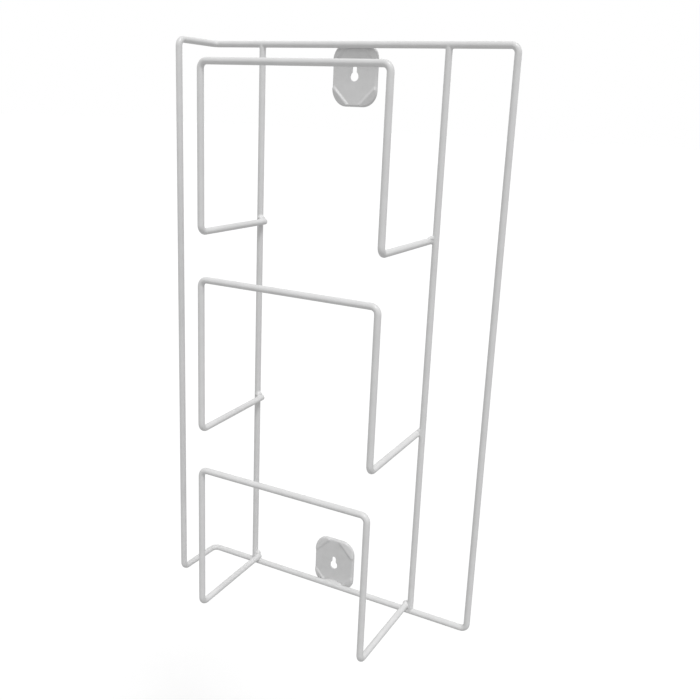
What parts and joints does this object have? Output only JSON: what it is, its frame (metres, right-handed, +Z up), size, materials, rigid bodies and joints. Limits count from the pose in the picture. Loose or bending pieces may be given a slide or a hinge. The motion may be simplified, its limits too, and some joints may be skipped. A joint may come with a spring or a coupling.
{
  "type": "disposable glove dispenser",
  "caption": "Wall-mounted bent-wire rack with stacked forward hoops that hold glove boxes, a folded side wing and keyhole hanging plates.",
  "frame": {"origin": "midway between the centres of the round entries of the two keyholes, in the middle of the thickness of their sheet, 2.0 mm in front of the wall", "axes": "+X to the right along the wall, +Y into the wall, +Z up"},
  "size_m": [0.2482, 0.0878, 0.4384],
  "materials": {
    "wire_coating": "white plastic coating, softly glossy",
    "plate_coating": "white plastic coating on stamped sheet, softly glossy"
  },
  "bodies": {
    "root": {"outer_frame": "wire_coating", "left_upright": "wire_coating", "right_upright": "wire_coating", "top_loop": "wire_coating", "middle_loop": "wire_coating", "bottom_loop": "wire_coating", "top_keyhole_plate": "plate_coating", "bottom_keyhole_plate": "plate_coating"}
  },
  "joints": []
}
